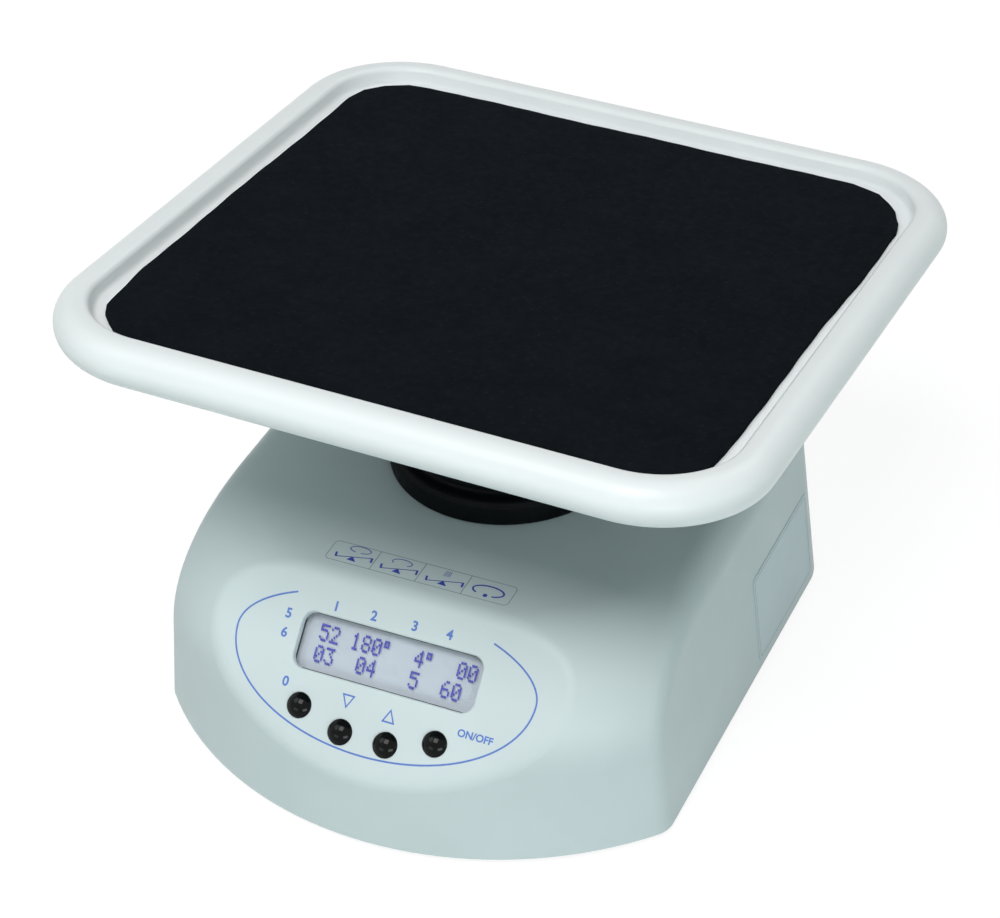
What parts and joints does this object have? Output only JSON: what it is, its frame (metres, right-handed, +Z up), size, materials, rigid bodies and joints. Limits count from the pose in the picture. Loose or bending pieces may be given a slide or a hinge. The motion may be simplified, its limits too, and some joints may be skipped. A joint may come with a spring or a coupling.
{
  "type": "laboratory rocking shaker",
  "caption": "Bench rocking shaker: a square rimmed tray with a mat wobbles on a leaning spindle over a bowed housing with a sloped display, push keys, a ribbed boot and rear power parts.",
  "frame": {"origin": "on the floor under the drive axis, at the level of the rubber feet", "axes": "+Z up along the drive axis, +Y to the back (the rear panel side), +X to the right of a person who faces the keys"},
  "size_m": [0.2351, 0.2487, 0.1606],
  "materials": {
    "shell": "satin moulded plastic, cool grey",
    "plate": "plain moulded plastic",
    "foot_rubber": "soft black rubber",
    "screw_steel": "zinc plated",
    "motor_black": "black stator with bright end caps",
    "spindle_steel": "turned and ground",
    "chassis": "milled",
    "standoff_brass": "turned",
    "bearing_steel": "polished",
    "hub_aluminium": "turned",
    "tray_shell": "satin moulded plastic, near white",
    "mat_rubber": "matt non-slip rubber sheet",
    "boot_rubber": "moulded black rubber",
    "boot_clamp": "black nylon band",
    "window": "clear printed lens",
    "bezel": "black painted sheet",
    "display": "lavender-grey character display",
    "board": "solder mask green",
    "board_parts": "moulded black packages",
    "switch_black": "black nylon",
    "key_black": "glossy black"
  },
  "bodies": {
    "base": {"housing": "shell", "base_plate": "plate", "rubber_feet": "foot_rubber", "case_screws": "screw_steel", "standoff_screws": "screw_steel", "motor_body": "motor_black", "chassis_plate": "chassis", "chassis_standoffs": "standoff_brass", "bearing_block": "chassis", "drive_bearing_rings": "bearing_steel", "drive_boot": "boot_rubber", "display_window": "window", "display_bezel": "bezel", "display_glass": "display", "display_board": "board", "key_switches": "board_parts", "key_board": "board", "control_board": "board", "board_parts": "board_parts", "switch_frame": "switch_black", "jack_body": "switch_black", "jack_pin": "standoff_brass", "jack_nut": "screw_steel"},
    "rotor": {"motor_shaft": "spindle_steel", "spindle": "spindle_steel", "spindle_set_screw": "screw_steel", "spindle_washer": "screw_steel", "spindle_screw": "screw_steel", "bearing_inner_rings": "bearing_steel"},
    "platform": {"hub": "hub_aluminium", "hub_circlip": "spindle_steel", "hub_bearing_rings": "bearing_steel", "tray": "tray_shell", "tray_rim": "tray_shell", "tray_mat": "mat_rubber", "tray_screws": "screw_steel", "boot_clamp": "boot_clamp"},
    "rocker": {"power_rocker": "key_black"},
    "select_button": {"select_key": "key_black"},
    "down_button": {"down_key": "key_black"},
    "up_button": {"up_key": "key_black"},
    "run_stop_button": {"run_stop_key": "key_black"}
  },
  "joints": [
    {"name": "drive_spin", "type": "hinge", "parent": "base", "child": "rotor", "pos_m": [0, 0, 0.0674], "axis": [0, 0, 1], "continuous": true, "deforming": ["drive_boot"]},
    {"name": "platform_spin", "type": "hinge", "parent": "rotor", "child": "platform", "pos_m": [0, 0, 0.0674], "axis": [0.0233, 0.1196, 0.9925], "continuous": true},
    {"name": "select_press", "type": "slide", "parent": "base", "child": "select_button", "axis": [0, 0.7071, -0.7071], "range_m": [0, 0.0005], "stiffness_N_per_m": 3200},
    {"name": "down_press", "type": "slide", "parent": "base", "child": "down_button", "axis": [0, 0.7071, -0.7071], "range_m": [0, 0.0005], "stiffness_N_per_m": 3200},
    {"name": "up_press", "type": "slide", "parent": "base", "child": "up_button", "axis": [0, 0.7071, -0.7071], "range_m": [0, 0.0005], "stiffness_N_per_m": 3200},
    {"name": "run_stop_press", "type": "slide", "parent": "base", "child": "run_stop_button", "axis": [0, 0.7071, -0.7071], "range_m": [0, 0.0005], "stiffness_N_per_m": 3200},
    {"name": "power_rock", "type": "hinge", "parent": "base", "child": "rocker", "pos_m": [-0.03, 0.06596, 0.02986], "axis": [0, 0.0906, -0.9959], "range_deg": [0, 22]}
  ],
  "couplings": [
    {"joint": "platform_spin", "follows": "drive_spin", "ratio": -1}
  ]
}
